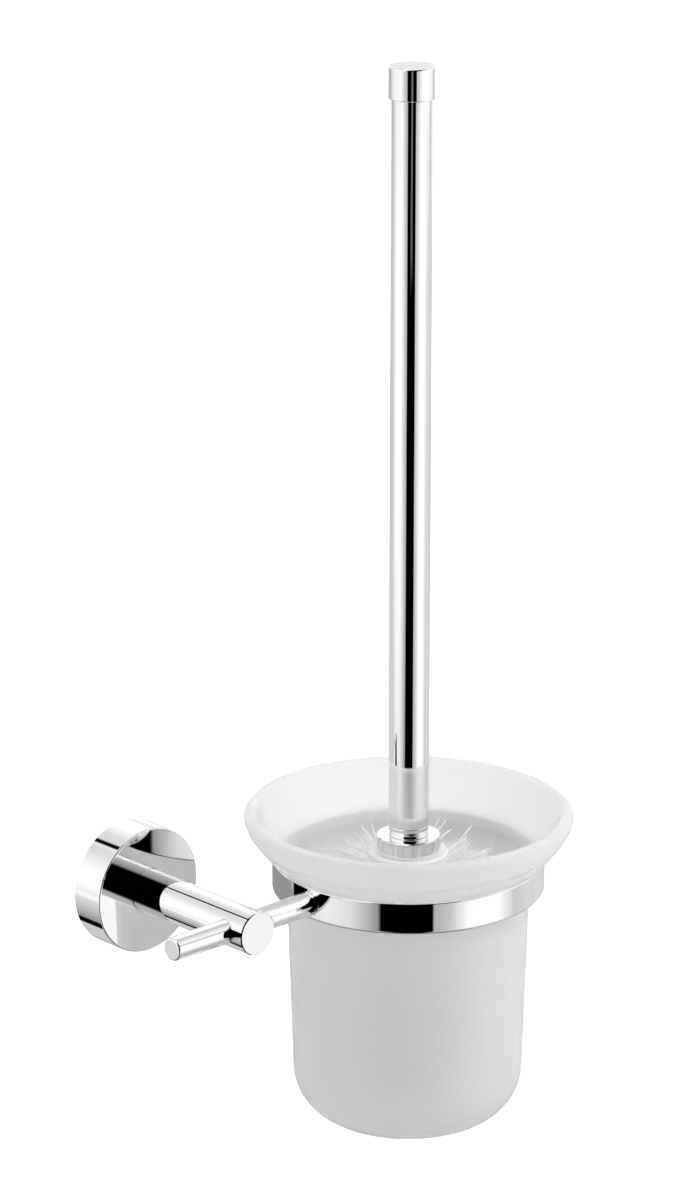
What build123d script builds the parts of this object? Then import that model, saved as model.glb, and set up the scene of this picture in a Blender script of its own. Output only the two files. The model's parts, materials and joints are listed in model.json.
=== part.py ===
"""Wall-mounted toilet brush set: chromed holder, frosted glass cup and a brush with a tube handle.

Millimetres. The wall is the plane Y = 0 and the set stands out from it along -Y. The origin is the
centre of the rosette's back, +X points from the arm to the cup and +Z points up.
"""

import os
from math import cos, radians, sin, sqrt

from build123d import *

os.makedirs("parts", exist_ok=True)

# Fits shared by the pieces
running_fit = 0.05
press_seat = 0.02
soft_gap = 0.3

# Rosette and wall bracket
rosette_r = 24.0
rosette_depth = 14.0
rosette_wall = 2.0
rosette_face = 2.5
rosette_edge = 0.6
bracket_slack = 0.2
bracket_depth = 8.5
bracket_bore_r = 7.0
groove_depth = 1.5
groove_lip = 1.5
wall_screw_r = 2.25
wall_screw_head_r = 4.5
wall_screw_land = 1.8
set_screw_r = 1.95
set_screw_inset = 0.4
set_screw_tip_r = 0.3
set_screw_key = 2.0
set_screw_key_depth = 1.6

# Arm
arm_r = 8.25
arm_reach = 65.0
arm_overhang = 9.8
arm_seat_depth = 0.6
arm_seat_edge = 0.35
arm_edge = 0.4
arm_screw_r = 2.95
arm_screw_grip = 15.0
arm_screw_head_r = 5.0
arm_screw_head_h = 4.0
arm_screw_key = 5.0
arm_screw_key_depth = 2.5
washer_r = 5.2
washer_thickness = 1.2
washer_split = 0.8

# Cross rods
peg_r = 4.55
peg_tip_r = 4.35
peg_length = 24.9
peg_edge = 0.8
rod_r = 4.55
rod_length = 25.5
rod_end_gap = 0.3
rod_end_edge = 0.5
spot_bite = 0.28
stud_r = 2.45
stud_grip = 9.0

# Ring
ring_r = 51.25
ring_wall = 2.0
ring_height = 12.4
ring_edge = 0.5
ring_foot_edge = 1.4
ring_screw_r = 1.95
ring_screw_head_r = 3.5
ring_screw_grip = 11.0
ring_screw_key = 2.5
ring_screw_key_depth = 1.0
gasket_flange = 0.53
gasket_skirt = 0.8
gasket_skirt_depth = 4.0
gasket_inset = 0.4

# Glass cup
lip_flare = 10.6
lip_rise = 17.85
lip_edge = 2.3
rim_width = 4.9
bowl_radius = 15.0
bowl_hollow_radius = 45.0
shoulder_overhang = 0.15
shoulder_edge = 0.5
foot_band_flare = 5.7
foot_band_rise = 6.1
foot_band_radius = 30.0
foot_band_step = 0.5
foot_band_edge = 0.25
register_slack = 0.5
register_depth = 6.6
register_lead = 4.0
neck_step = 2.13
cup_wall = 3.1
cup_taper = 2.9
cup_depth = 104.6
cup_corner = 20.0
cup_floor = 5.0
throat_wall = 2.8
throat_drop = 2.0
throat_radius = 4.0
inner_neck_radius = 20.0
floor_corner = 15.0

# Brush head
head_length = 100.7
disc_r = 15.0
disc_thickness = 2.4
disc_edge = 0.6
core_step = 1.0
spigot_wall = 1.5
spigot_height = 4.0
insert_wall = 1.55
insert_length = 12.0
collar_r = 12.05
collar_height = 6.5
collar_edge = 0.4
flute_count = 36
flute_r = 0.6
flute_depth = 0.12
flute_margin = 0.8

# Bristles
sleeve_wall = 2.5
band_count = 6
band_height = 12.0
neck_gap = 3.8
tufts_per_row = 11
strands_per_tuft = 3
strand_r = 0.45
strand_root = 1.0
tuft_r = 0.75
tuft_splay = 0.09
brush_slack = 6.8
top_tilt = 24.0
bottom_tilt = -34.0
tip_root = 1.0
tip_rings = ((24, -42.0, 7.5), (18, -58.0, 3.0), (10, -74.0, 0.5), (1, -90.0, 0.0))

# Handle
tube_r = 7.5
tube_wall = 1.0
slip_ring_height = 4.0
slip_ring_edge = 0.4
slip_ring_groove = 0.45
handle_length = 287.7
cap_wall = 1.1
cap_height = 11.8
cap_top = 3.0
cap_edge = 0.6
cap_foot_edge = 0.3
tube_insert_length = 20.0
handle_stud_r = 3.95
thread_engagement = 10.0
handle_stud_grip = 16.0

# Places that follow from the sizes above
cup_x = arm_r + rod_length + ring_r
cup_y = -arm_reach
ring_top = ring_height / 2
ring_inner_r = ring_r - ring_wall
gasket_foot = ring_top + press_seat
gasket_top = gasket_foot + gasket_flange
shoulder_z = gasket_top + running_fit
lip_z = shoulder_z + lip_rise
foot_band_z = shoulder_z + foot_band_rise
cup_bottom = shoulder_z - cup_depth
cup_floor_z = cup_bottom + cup_floor
brush_bottom = cup_floor_z + soft_gap
disc_top = brush_bottom + head_length
collar_top = disc_top + collar_height
insert_top = disc_top + spigot_height
tube_foot = collar_top + slip_ring_height
handle_top = tube_foot + handle_length
tube_top = handle_top - cap_top
cap_foot = handle_top - cap_height
stud_tip = insert_top - thread_engagement
sleeve_top = disc_top - disc_thickness - neck_gap
sleeve_foot = sleeve_top - band_count * band_height
tip_strand_length = sleeve_foot - brush_bottom - tip_root
groove_y = groove_lip + groove_depth - bracket_depth
bracket_r = rosette_r - rosette_wall - bracket_slack
wall_screw_pitch = 2 * (bracket_r - groove_depth - wall_screw_land - wall_screw_head_r)
face_inner_y = rosette_face - rosette_depth
arm_back_y = arm_seat_depth - rosette_depth
spot_x = sqrt(arm_r**2 - max(rod_r, peg_r) ** 2) - spot_bite
gasket_inner_r = ring_inner_r - press_seat - gasket_skirt
register_r = gasket_inner_r - register_slack
shoulder_r = ring_r + shoulder_overhang
foot_band_r = shoulder_r + foot_band_flare
lip_r = shoulder_r + lip_flare
rim_r = lip_r - rim_width
cup_neck_r = register_r - neck_step
cup_foot_r = cup_neck_r - cup_taper
throat_r = register_r - throat_wall
throat_z = shoulder_z - throat_drop
neck_z = shoulder_z - register_depth - register_lead
inner_neck_r = cup_neck_r - cup_wall
inner_foot_r = cup_foot_r - cup_wall
insert_r = handle_stud_r + insert_wall
spigot_r = insert_r + spigot_wall
core_r = spigot_r + core_step
sleeve_r = core_r + sleeve_wall
brush_r = inner_foot_r - brush_slack
cap_r = tube_r + cap_wall

wall_plane = Plane(origin=(0, 0, 0), x_dir=(1, 0, 0), z_dir=(0, -1, 0))
cross_plane = Plane(origin=(0, cup_y, 0), x_dir=(0, 1, 0), z_dir=(1, 0, 0))
cup_section = Plane(origin=(cup_x, cup_y, 0), x_dir=(1, 0, 0), z_dir=(0, -1, 0))
cup_axis = Axis((cup_x, cup_y, 0), (0, 0, 1))


def cup_plane(height: float) -> Plane:
    """Horizontal plane whose origin lies on the cup's axis at the given height."""
    return Plane(origin=(cup_x, cup_y, height))


def wall_offset(y: float) -> Plane:
    """Plane parallel to the wall at the given Y, facing the room."""
    return wall_plane.offset(-y)


# Wall bracket: a puck with two countersunk holes, a clearance bore and a vee groove round its rim
with BuildPart() as wall_bracket:
    with BuildSketch(wall_plane):
        Circle(bracket_r)
        Circle(bracket_bore_r, mode=Mode.SUBTRACT)
    extrude(amount=bracket_depth)
    with Locations(wall_offset(-bracket_depth)):
        with GridLocations(wall_screw_pitch, 0, 2, 1):
            CounterSinkHole(wall_screw_r, wall_screw_head_r, counter_sink_angle=90)
    with BuildSketch(Plane.XY):
        with BuildLine():
            Polyline(
                (bracket_r + soft_gap, groove_y - groove_depth - soft_gap),
                (bracket_r - groove_depth, groove_y),
                (bracket_r + soft_gap, groove_y + groove_depth + soft_gap),
                close=True,
            )
        make_face()
    revolve(axis=Axis.Y, mode=Mode.SUBTRACT)
wall_bracket.part.label = "wall_bracket"
export_step(wall_bracket.part, "parts/wall_bracket.step")

# Rosette: a shallow cup over the bracket, with a seat for the arm and a tapped hole underneath
with BuildPart() as rosette:
    with BuildSketch(wall_plane):
        Circle(rosette_r)
    extrude(amount=rosette_depth)
    fillet(rosette.faces().sort_by(Axis.Y)[0].edges(), rosette_edge)
    with BuildSketch(wall_plane):
        Circle(rosette_r - rosette_wall)
    extrude(amount=-face_inner_y, mode=Mode.SUBTRACT)
    with BuildSketch(wall_offset(-rosette_depth)):
        Circle(arm_r + press_seat)
    extrude(amount=-arm_seat_depth, mode=Mode.SUBTRACT)
    chamfer(rosette.edges().sort_by_distance((0, -rosette_depth, 0))[0], arm_seat_edge)
    with BuildSketch(wall_plane):
        Circle(arm_screw_r + running_fit)
    extrude(amount=rosette_depth, mode=Mode.SUBTRACT)
    with BuildSketch(Plane(origin=(0, groove_y, 0), z_dir=(0, 0, -1))):
        Circle(set_screw_r + running_fit)
    extrude(amount=rosette_r + soft_gap, mode=Mode.SUBTRACT)
rosette.part.label = "rosette"
export_step(rosette.part, "parts/rosette.step")

# Set screw: cone point in the bracket's groove, hexagon socket at its outer end
set_screw_head = rosette_r - set_screw_inset
set_screw_tip = bracket_r - groove_depth + set_screw_tip_r + running_fit
with BuildPart() as set_screw:
    with BuildSketch(Plane(origin=(0, groove_y, 0), x_dir=(1, 0, 0), z_dir=(0, -1, 0))):
        with BuildLine():
            Polyline(
                (0, -set_screw_tip),
                (set_screw_tip_r, -set_screw_tip),
                (set_screw_r, -set_screw_tip - set_screw_r + set_screw_tip_r),
                (set_screw_r, -set_screw_head),
                (0, -set_screw_head),
                close=True,
            )
        make_face()
    revolve(axis=Axis((0, groove_y, 0), (0, 0, 1)))
    with BuildSketch(Plane(origin=(0, groove_y, -set_screw_head), z_dir=(0, 0, 1))):
        RegularPolygon(set_screw_key / 2, 6, major_radius=False)
    extrude(amount=set_screw_key_depth, mode=Mode.SUBTRACT)
set_screw.part.label = "set_screw"
export_step(set_screw.part, "parts/set_screw.step")

# Arm: a round bar with a tapped rear hole, a cross hole and a spot face on each side
with BuildPart() as arm:
    with BuildSketch(wall_offset(arm_back_y)):
        Circle(arm_r)
    extrude(amount=arm_reach + arm_overhang + arm_back_y)
    chamfer(arm.faces().sort_by(Axis.Y)[0].edges(), arm_edge)
    with BuildSketch(wall_offset(arm_back_y)):
        Circle(arm_screw_r + running_fit)
    extrude(amount=arm_screw_grip + arm_screw_r, mode=Mode.SUBTRACT)
    with BuildSketch(cross_plane):
        Circle(stud_r + running_fit)
    extrude(amount=arm_r, both=True, mode=Mode.SUBTRACT)
    with BuildSketch(cross_plane.offset(spot_x)):
        Circle(rod_r + running_fit)
    extrude(amount=arm_r, mode=Mode.SUBTRACT)
    with BuildSketch(cross_plane.offset(-spot_x)):
        Circle(peg_r + running_fit)
    extrude(amount=-arm_r, mode=Mode.SUBTRACT)
arm.part.label = "arm"
export_step(arm.part, "parts/arm.step")

# Arm screw: cap screw from inside the rosette, its head clear of the bracket's bore
washer_y = face_inner_y + washer_thickness
with BuildPart() as arm_screw:
    with BuildSketch(wall_offset(washer_y)):
        Circle(arm_screw_r)
    extrude(amount=washer_y - arm_back_y + arm_screw_grip)
    chamfer(arm_screw.faces().sort_by(Axis.Y)[0].edges(), arm_screw_r / 5)
    with BuildSketch(wall_offset(washer_y)):
        Circle(arm_screw_head_r)
    extrude(amount=-arm_screw_head_h)
    with BuildSketch(wall_offset(washer_y + arm_screw_head_h)):
        RegularPolygon(arm_screw_key / 2, 6, major_radius=False)
    extrude(amount=arm_screw_key_depth, mode=Mode.SUBTRACT)
arm_screw.part.label = "arm_screw"
export_step(arm_screw.part, "parts/arm_screw.step")

# Lock washer: split spring washer between the screw's head and the rosette
with BuildPart() as arm_lock_washer:
    with BuildSketch(wall_offset(washer_y)):
        Circle(washer_r)
        Circle(arm_screw_r + running_fit, mode=Mode.SUBTRACT)
        with Locations((0, washer_r)):
            Rectangle(washer_split, 2 * washer_r, mode=Mode.SUBTRACT)
    extrude(amount=washer_thickness)
arm_lock_washer.part.label = "arm_lock_washer"
export_step(arm_lock_washer.part, "parts/arm_lock_washer.step")

# End peg: a slightly tapered peg on the arm's left side
with BuildPart() as end_peg:
    with BuildSketch(cross_plane.offset(-spot_x)):
        Circle(peg_r)
    with BuildSketch(cross_plane.offset(-arm_r - peg_length)):
        Circle(peg_tip_r)
    loft()
    fillet(end_peg.faces().sort_by(Axis.X)[0].edges(), peg_edge)
    with BuildSketch(cross_plane.offset(-spot_x)):
        Circle(stud_r + running_fit)
    extrude(amount=-stud_grip - stud_r, mode=Mode.SUBTRACT)
end_peg.part.label = "end_peg"
export_step(end_peg.part, "parts/end_peg.step")

# Cross stud: ties the peg and the ring's rod to the arm
with BuildPart() as cross_stud:
    with BuildSketch(cross_plane):
        Circle(stud_r)
    extrude(amount=spot_x + stud_grip, both=True)
    stud_ends = cross_stud.faces().filter_by(GeomType.PLANE)
    chamfer(stud_ends.edges(), stud_r / 5)
cross_stud.part.label = "cross_stud"
export_step(cross_stud.part, "parts/cross_stud.step")

# Ring rod: its chamfered end stops short of the ring, and a coped neck meets the ring's outer face
ring_face_x = cup_x - ring_r
with BuildPart() as ring_rod:
    with BuildSketch(cross_plane.offset(spot_x)):
        Circle(rod_r)
    extrude(amount=ring_face_x - rod_end_gap - spot_x)
    chamfer(ring_rod.faces().sort_by(Axis.X)[-1].edges(), rod_end_edge)
    with BuildSketch(cross_plane.offset(ring_face_x - rod_end_gap)):
        Circle(rod_r - rod_end_edge)
    extrude(amount=rod_end_gap + rod_r)
    with BuildSketch(cup_plane(0)):
        Circle(ring_r)
    extrude(amount=2 * rod_r, both=True, mode=Mode.SUBTRACT)
    with BuildSketch(cross_plane.offset(spot_x)):
        Circle(stud_r + running_fit)
    extrude(amount=stud_grip + stud_r, mode=Mode.SUBTRACT)
    with BuildSketch(cross_plane.offset(ring_face_x + rod_r)):
        Circle(ring_screw_r + running_fit)
    extrude(amount=-ring_screw_grip - ring_screw_r - rod_r, mode=Mode.SUBTRACT)
ring_rod.part.label = "ring_rod"
export_step(ring_rod.part, "parts/ring_rod.step")

# Ring: a flat band, rounded along its lower outer edge, with a countersunk hole towards the rod
sink_depth = ring_screw_head_r - ring_screw_r
sink_x = ring_face_x + ring_wall
with BuildPart() as ring:
    with BuildSketch(cup_plane(-ring_top)):
        Circle(ring_r)
        Circle(ring_inner_r, mode=Mode.SUBTRACT)
    extrude(amount=ring_height)
    fillet(ring.faces().sort_by(Axis.Z)[0].edges().sort_by(SortBy.RADIUS)[-1], ring_foot_edge)
    ring_corners = ring.faces().sort_by(Axis.Z)[-1].edges()
    ring_corners += ring.faces().sort_by(Axis.Z)[0].edges().sort_by(SortBy.RADIUS)[:1]
    fillet(ring_corners, ring_edge)
    with BuildSketch(Plane(origin=(0, cup_y, 0))):
        with BuildLine():
            Polyline(
                (ring_face_x - ring_wall, 0),
                (ring_face_x - ring_wall, ring_screw_r + running_fit),
                (sink_x - sink_depth, ring_screw_r + running_fit),
                (sink_x, ring_screw_head_r + running_fit),
                (sink_x + ring_wall, ring_screw_head_r + running_fit),
                (sink_x + ring_wall, 0),
                close=True,
            )
        make_face()
    revolve(axis=Axis((0, cup_y, 0), (1, 0, 0)), mode=Mode.SUBTRACT)
ring.part.label = "ring"
export_step(ring.part, "parts/ring.step")

# Ring screw: countersunk, flush with the ring's inner face
with BuildPart() as ring_screw:
    with BuildSketch(Plane(origin=(0, cup_y, 0))):
        with BuildLine():
            Polyline(
                (sink_x - running_fit, 0),
                (sink_x - running_fit, ring_screw_head_r - running_fit),
                (sink_x - running_fit - sink_depth, ring_screw_r - running_fit),
                (sink_x - running_fit - sink_depth, ring_screw_r),
                (ring_face_x - ring_screw_grip, ring_screw_r),
                (ring_face_x - ring_screw_grip - ring_screw_r / 2, ring_screw_r / 2),
                (ring_face_x - ring_screw_grip - ring_screw_r / 2, 0),
                close=True,
            )
        make_face()
    revolve(axis=Axis((0, cup_y, 0), (1, 0, 0)))
    with BuildSketch(cross_plane.offset(sink_x - running_fit)):
        RegularPolygon(ring_screw_key / 2, 6, major_radius=False)
    extrude(amount=-ring_screw_key_depth, mode=Mode.SUBTRACT)
ring_screw.part.label = "ring_screw"
export_step(ring_screw.part, "parts/ring_screw.step")

# Gasket: milky soft angle ring that keeps the glass off the metal
with BuildPart() as ring_gasket:
    with BuildSketch(cup_section):
        with BuildLine():
            Polyline(
                (gasket_inner_r, ring_top - gasket_skirt_depth),
                (ring_inner_r - press_seat, ring_top - gasket_skirt_depth),
                (ring_inner_r - press_seat, gasket_foot),
                (ring_r - gasket_inset, gasket_foot),
                (ring_r - gasket_inset, gasket_top),
                (gasket_inner_r, gasket_top),
                close=True,
            )
        make_face()
    revolve(axis=cup_axis)
ring_gasket.part.label = "ring_gasket"
export_step(ring_gasket.part, "parts/ring_gasket.step")

# Glass cup: tapered tumbler, a register inside the ring, a rounded foot band and a bowl with a bead rim
with BuildPart() as glass_cup:
    with BuildSketch(cup_section) as cup_profile:
        with BuildLine():
            Polyline(
                (throat_r, throat_z),
                (inner_neck_r, neck_z),
                (inner_foot_r, cup_floor_z),
                (0, cup_floor_z),
                (0, cup_bottom),
                (cup_foot_r, cup_bottom),
                (cup_neck_r, neck_z),
                (register_r, shoulder_z - register_depth),
                (register_r, shoulder_z),
                (shoulder_r, shoulder_z),
            )
            RadiusArc((shoulder_r, shoulder_z), (foot_band_r, foot_band_z), -foot_band_radius)
            Line((foot_band_r, foot_band_z), (foot_band_r - foot_band_step, foot_band_z))
            RadiusArc((foot_band_r - foot_band_step, foot_band_z), (lip_r, lip_z), -bowl_radius)
            Line((lip_r, lip_z), (rim_r, lip_z))
            RadiusArc((rim_r, lip_z), (throat_r, throat_z), bowl_hollow_radius)
        make_face()
        for corner, radius in (
            ((cup_foot_r, cup_bottom), cup_corner),
            ((inner_foot_r, cup_floor_z), floor_corner),
            ((throat_r, throat_z), throat_radius),
            ((inner_neck_r, neck_z), inner_neck_radius),
            ((shoulder_r, shoulder_z), shoulder_edge),
            ((foot_band_r, foot_band_z), foot_band_edge),
            ((lip_r, lip_z), lip_edge),
            ((rim_r, lip_z), lip_edge),
        ):
            fillet(cup_profile.vertices().sort_by_distance(corner)[0], radius)
    revolve(axis=cup_axis)
glass_cup.part.label = "glass_cup"
export_step(glass_cup.part, "parts/glass_cup.step")

# Brush core: moulded rod with a top disc, a spigot for the collar and a pocket for the insert
with BuildPart() as brush_core:
    with BuildSketch(cup_section):
        with BuildLine():
            Polyline(
                (0, sleeve_foot),
                (core_r, sleeve_foot),
                (core_r, sleeve_top),
                (sleeve_r, sleeve_top),
                (disc_r, disc_top - disc_thickness),
                (disc_r, disc_top),
                (spigot_r, disc_top),
                (spigot_r, insert_top),
                (0, insert_top),
                close=True,
            )
        make_face()
    revolve(axis=cup_axis)
    disc_rims = brush_core.edges().filter_by(GeomType.CIRCLE).group_by(SortBy.RADIUS)[-1]
    fillet(disc_rims, disc_edge)
    with BuildSketch(cup_plane(insert_top)):
        Circle(insert_r + press_seat)
    extrude(amount=-insert_length - handle_stud_r, mode=Mode.SUBTRACT)
brush_core.part.label = "brush_core"
export_step(brush_core.part, "parts/brush_core.step")

# Core insert: threaded bush that the handle's stud screws into
with BuildPart() as core_insert:
    with BuildSketch(cup_plane(insert_top)):
        Circle(insert_r)
        Circle(handle_stud_r + running_fit, mode=Mode.SUBTRACT)
    extrude(amount=-insert_length)
core_insert.part.label = "core_insert"
export_step(core_insert.part, "parts/core_insert.step")

# Collar: faint flutes between two plain rims of a flat-topped ring, bored to sit over the spigot
with BuildPart() as knurled_collar:
    with BuildSketch(cup_plane(disc_top)):
        Circle(collar_r)
    extrude(amount=collar_height)
    collar_ends = knurled_collar.faces().filter_by(GeomType.PLANE)
    chamfer(collar_ends.edges(), collar_edge)
    with BuildSketch(cup_plane(disc_top + flute_margin)):
        with PolarLocations(collar_r + flute_r - flute_depth, flute_count):
            Circle(flute_r)
    extrude(amount=collar_height - 2 * flute_margin, mode=Mode.SUBTRACT)
    with BuildSketch(cup_plane(disc_top)):
        Circle(spigot_r + press_seat)
    extrude(amount=spigot_height + press_seat, mode=Mode.SUBTRACT)
    with BuildSketch(cup_plane(disc_top)):
        Circle(handle_stud_r + soft_gap)
    extrude(amount=collar_height, mode=Mode.SUBTRACT)
knurled_collar.part.label = "knurled_collar"
export_step(knurled_collar.part, "parts/knurled_collar.step")


def strand_plane(base: Vector, tilt: float, turn: float, side: float, spread: float) -> Plane:
    """Plane at a strand's root, facing along the strand.

    The tuft leaves its base at the given tilt above the horizontal and turn about the cup's axis. The
    strand stands the tuft's radius to one side of it, and leans the same way by spread.
    """
    outward = Vector(cos(tilt) * cos(turn), cos(tilt) * sin(turn), sin(tilt))
    across = Vector(-sin(turn), cos(turn), 0)
    sideways = across * cos(side) + outward.cross(across) * sin(side)
    return Plane(origin=base + sideways * tuft_r, x_dir=across, z_dir=outward + sideways * spread)


# Bristle bands: a sleeve on the core with two staggered rows of tufts, raked from up to down
row_count = 2 * band_count
row_pitch = band_height / 2
row_rake = (bottom_tilt - top_tilt) / (row_count - 1)
tuft_turn = 360 / tufts_per_row
for band_number in range(band_count):
    band_top = sleeve_top - band_number * band_height
    band_tilt = top_tilt + row_rake * (2 * band_number + 0.5)
    strand_length = (brush_r - sleeve_r) / cos(radians(band_tilt)) + strand_root
    with BuildPart() as bristle_band:
        with BuildSketch(cup_plane(band_top)):
            Circle(sleeve_r)
            Circle(core_r + running_fit, mode=Mode.SUBTRACT)
        extrude(amount=-band_height)
        for row in range(2):
            tilt = radians(top_tilt + row_rake * (2 * band_number + row))
            root_z = band_top - row_pitch * (row + 0.5)
            root_r = sleeve_r - strand_root
            for tuft in range(tufts_per_row):
                turn = radians(tuft_turn * (tuft + row / 2))
                base = Vector(cup_x + root_r * cos(turn), cup_y + root_r * sin(turn), root_z)
                for strand in range(strands_per_tuft):
                    side = radians(360 / strands_per_tuft * strand + 90)
                    with BuildSketch(strand_plane(base, tilt, turn, side, tuft_splay)):
                        RegularPolygon(strand_r, 3)
        extrude(amount=strand_length)
    bristle_band.part.label = f"bristle_band_{band_number + 1}"
    export_step(bristle_band.part, f"parts/bristle_band_{band_number + 1}.step")

# Bristle tip: a dome under the core with strands that fan out downwards to the cup's floor
with BuildPart() as bristle_tip:
    with BuildSketch(cup_section):
        with BuildLine():
            dome = RadiusArc((0, sleeve_foot - sleeve_r), (sleeve_r, sleeve_foot), -sleeve_r)
            Polyline(dome @ 1, (0, sleeve_foot), dome @ 0)
        make_face()
    revolve(axis=cup_axis)
    for ring_strands, ring_tilt, ring_reach in tip_rings:
        tilt = radians(ring_tilt)
        for strand in range(ring_strands):
            turn = radians(360 / ring_strands * strand)
            outward = Vector(cos(tilt) * cos(turn), cos(tilt) * sin(turn), sin(tilt))
            base = Vector(cup_x, cup_y, sleeve_foot) + outward * (tip_root + ring_reach)
            with BuildSketch(Plane(origin=base, x_dir=(-sin(turn), cos(turn), 0), z_dir=outward)):
                RegularPolygon(strand_r, 3)
    extrude(amount=tip_strand_length)
bristle_tip.part.label = "bristle_tip"
export_step(bristle_tip.part, "parts/bristle_tip.step")

# Slip ring: loose ferrule of two rounded beads between the collar and the tube's foot
slip_ring_waist = (collar_top + tube_foot) / 2
with BuildPart() as slip_ring:
    with BuildSketch(cup_section) as slip_ring_profile:
        with BuildLine():
            Polyline(
                (handle_stud_r + soft_gap, collar_top),
                (tube_r, collar_top),
                (tube_r, slip_ring_waist - slip_ring_groove),
                (tube_r - slip_ring_groove, slip_ring_waist),
                (tube_r, slip_ring_waist + slip_ring_groove),
                (tube_r, tube_foot),
                (handle_stud_r + soft_gap, tube_foot),
                close=True,
            )
        make_face()
        bead_corners = slip_ring_profile.vertices().group_by(Axis.X)[-1]
        fillet(bead_corners, slip_ring_edge)
    revolve(axis=cup_axis)
slip_ring.part.label = "slip_ring"
export_step(slip_ring.part, "parts/slip_ring.step")

# Handle tube
with BuildPart() as handle_tube:
    with BuildSketch(cup_plane(tube_foot)):
        Circle(tube_r)
        Circle(tube_r - tube_wall, mode=Mode.SUBTRACT)
    extrude(amount=tube_top - tube_foot)
handle_tube.part.label = "handle_tube"
export_step(handle_tube.part, "parts/handle_tube.step")

# Handle cap: a flat-topped cap that sleeves over the tube's end
with BuildPart() as handle_cap:
    with BuildSketch(cup_plane(cap_foot)):
        Circle(cap_r)
    extrude(amount=cap_height)
    fillet(handle_cap.faces().sort_by(Axis.Z)[-1].edges(), cap_edge)
    chamfer(handle_cap.faces().sort_by(Axis.Z)[0].edges(), cap_foot_edge)
    with BuildSketch(cup_plane(cap_foot)):
        Circle(tube_r + press_seat)
    extrude(amount=tube_top - cap_foot, mode=Mode.SUBTRACT)
handle_cap.part.label = "handle_cap"
export_step(handle_cap.part, "parts/handle_cap.step")

# Tube insert: plug in the tube's foot that holds the stud
with BuildPart() as tube_insert:
    with BuildSketch(cup_plane(tube_foot)):
        Circle(tube_r - tube_wall - press_seat)
        Circle(handle_stud_r + running_fit, mode=Mode.SUBTRACT)
    extrude(amount=tube_insert_length)
tube_insert.part.label = "tube_insert"
export_step(tube_insert.part, "parts/tube_insert.step")

# Handle stud: screws through the slip ring and the collar into the head's insert
with BuildPart() as handle_stud:
    with BuildSketch(cup_plane(stud_tip)):
        Circle(handle_stud_r)
    extrude(amount=tube_foot + handle_stud_grip - stud_tip)
    handle_stud_ends = handle_stud.faces().filter_by(GeomType.PLANE)
    chamfer(handle_stud_ends.edges(), handle_stud_r / 5)
handle_stud.part.label = "handle_stud"
export_step(handle_stud.part, "parts/handle_stud.step")
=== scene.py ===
"""Looks of a wall-mounted toilet brush set: chromed holder, frosted glass cup and a white brush.

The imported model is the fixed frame, in metres: the wall is the plane Y = 0, the set stands out along
-Y, the cup hangs to the right of the arm and +Z points up. This file gives every piece its finish,
grows the bristles in full, and sets up the camera, the floor and a plain white studio.
"""

import json
import logging
import math
import random
from dataclasses import dataclass, field
from enum import Enum

import bpy
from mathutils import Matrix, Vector

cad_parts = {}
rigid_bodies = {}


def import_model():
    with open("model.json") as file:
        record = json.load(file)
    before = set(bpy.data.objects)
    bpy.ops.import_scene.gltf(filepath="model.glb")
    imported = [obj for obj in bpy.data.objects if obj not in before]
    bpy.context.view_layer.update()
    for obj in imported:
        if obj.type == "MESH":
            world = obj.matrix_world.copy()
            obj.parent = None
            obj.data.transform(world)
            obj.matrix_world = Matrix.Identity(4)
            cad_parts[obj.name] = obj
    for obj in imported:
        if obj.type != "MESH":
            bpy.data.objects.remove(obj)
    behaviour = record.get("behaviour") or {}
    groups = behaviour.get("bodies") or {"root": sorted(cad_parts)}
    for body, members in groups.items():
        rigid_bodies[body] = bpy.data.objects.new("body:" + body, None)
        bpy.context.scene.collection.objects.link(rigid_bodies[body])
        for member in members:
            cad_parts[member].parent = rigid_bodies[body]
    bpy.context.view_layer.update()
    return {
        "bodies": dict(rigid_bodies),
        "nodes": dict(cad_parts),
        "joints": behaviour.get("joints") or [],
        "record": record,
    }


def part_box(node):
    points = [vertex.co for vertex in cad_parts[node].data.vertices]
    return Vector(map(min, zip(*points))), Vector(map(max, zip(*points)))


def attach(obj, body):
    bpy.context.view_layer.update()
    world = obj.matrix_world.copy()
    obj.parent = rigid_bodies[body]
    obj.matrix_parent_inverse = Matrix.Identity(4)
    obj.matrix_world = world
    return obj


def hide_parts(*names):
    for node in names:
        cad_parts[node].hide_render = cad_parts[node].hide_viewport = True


LOG = logging.getLogger("brush_set")
MM = 0.001

Colour = tuple[float, float, float, float]
Point = tuple[float, float, float]
Span = tuple[float, float]
Socket = bpy.types.NodeSocket


class Body(Enum):
    """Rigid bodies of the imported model."""

    HOLDER = "holder"
    CUP = "cup"
    BRUSH_HEAD = "brush_head"
    FERRULE = "ferrule"
    HANDLE = "handle"


class Slot(Enum):
    """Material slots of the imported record."""

    CHROME = "chrome"
    STEEL = "steel"
    ZINC = "zinc"
    BRASS = "brass"
    GLASS = "frosted_glass"
    PLASTIC = "white_plastic"
    BRISTLE = "bristle"
    GASKET = "gasket"


class Paint(Enum):
    """Greys of the walls that polished metal mirrors, as levels of light.

    Chrome mirrors a little less than all light, so its white is painted a little over 1.
    """

    BLACK = 0.0
    CHARCOAL = 0.3
    SLATE = 0.45
    ASH = 0.6
    SILVER = 0.75
    PALE = 0.9
    WHITE = 1.06


Stops = tuple[tuple[float, Paint], ...]


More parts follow.
